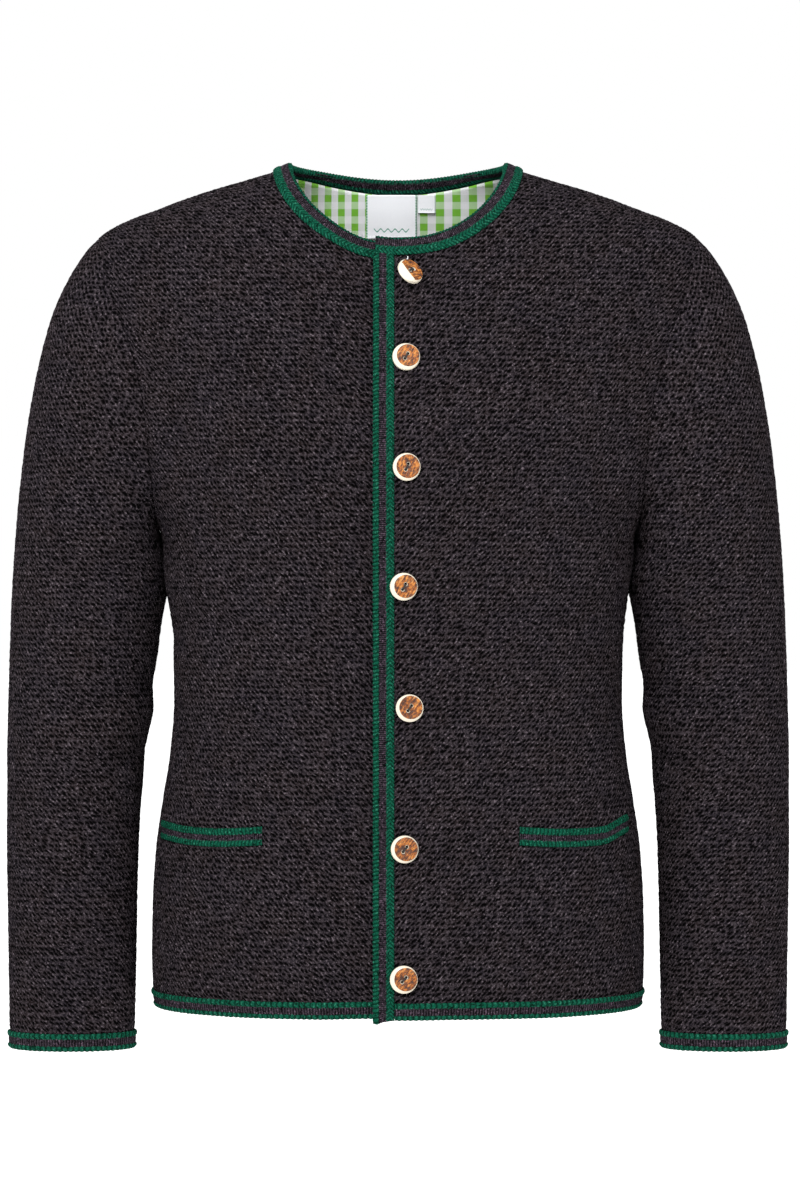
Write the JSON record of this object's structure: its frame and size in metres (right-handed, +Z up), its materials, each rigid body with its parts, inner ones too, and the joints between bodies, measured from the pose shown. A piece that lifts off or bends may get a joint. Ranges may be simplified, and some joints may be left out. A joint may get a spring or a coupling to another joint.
{
  "type": "knitted jacket in its worn form",
  "caption": "Collarless knitted jacket, filled out as worn and empty inside, with folded contrast trim, welt pockets and a buttoned front that laps over.",
  "frame": {"origin": "midway between the two points where the neck opening meets the shoulders, where the wearer's shoulders hold the jacket up", "axes": "+Z up along the wearer's back, -Y out of the buttoned front, +X towards the wearer's left arm"},
  "size_m": [0.6332, 0.2646, 0.7146],
  "materials": {
    "knit": "heathered charcoal pearl knit",
    "trim": "knitted band, green borders and a charcoal middle",
    "horn": "brown bark face with a pale bevelled rim",
    "lining": "green and white woven check",
    "label": "white woven satin"
  },
  "bodies": {
    "root": {"front_left": "knit", "front_right": "knit", "back": "knit", "sleeve_left": "knit", "sleeve_right": "knit", "neck_trim": "trim", "front_trim": "trim", "hem_trim_front_left": "trim", "hem_trim_front_right": "trim", "hem_trim_back": "trim", "cuff_trim_left": "trim", "cuff_trim_right": "trim", "pocket_welt_left": "trim", "pocket_welt_right": "trim", "button_1": "horn", "button_2": "horn", "button_3": "horn", "button_4": "horn", "button_5": "horn", "button_6": "horn", "button_7": "horn", "back_lining": "lining", "neck_label": "label", "size_label": "label"}
  },
  "joints": []
}
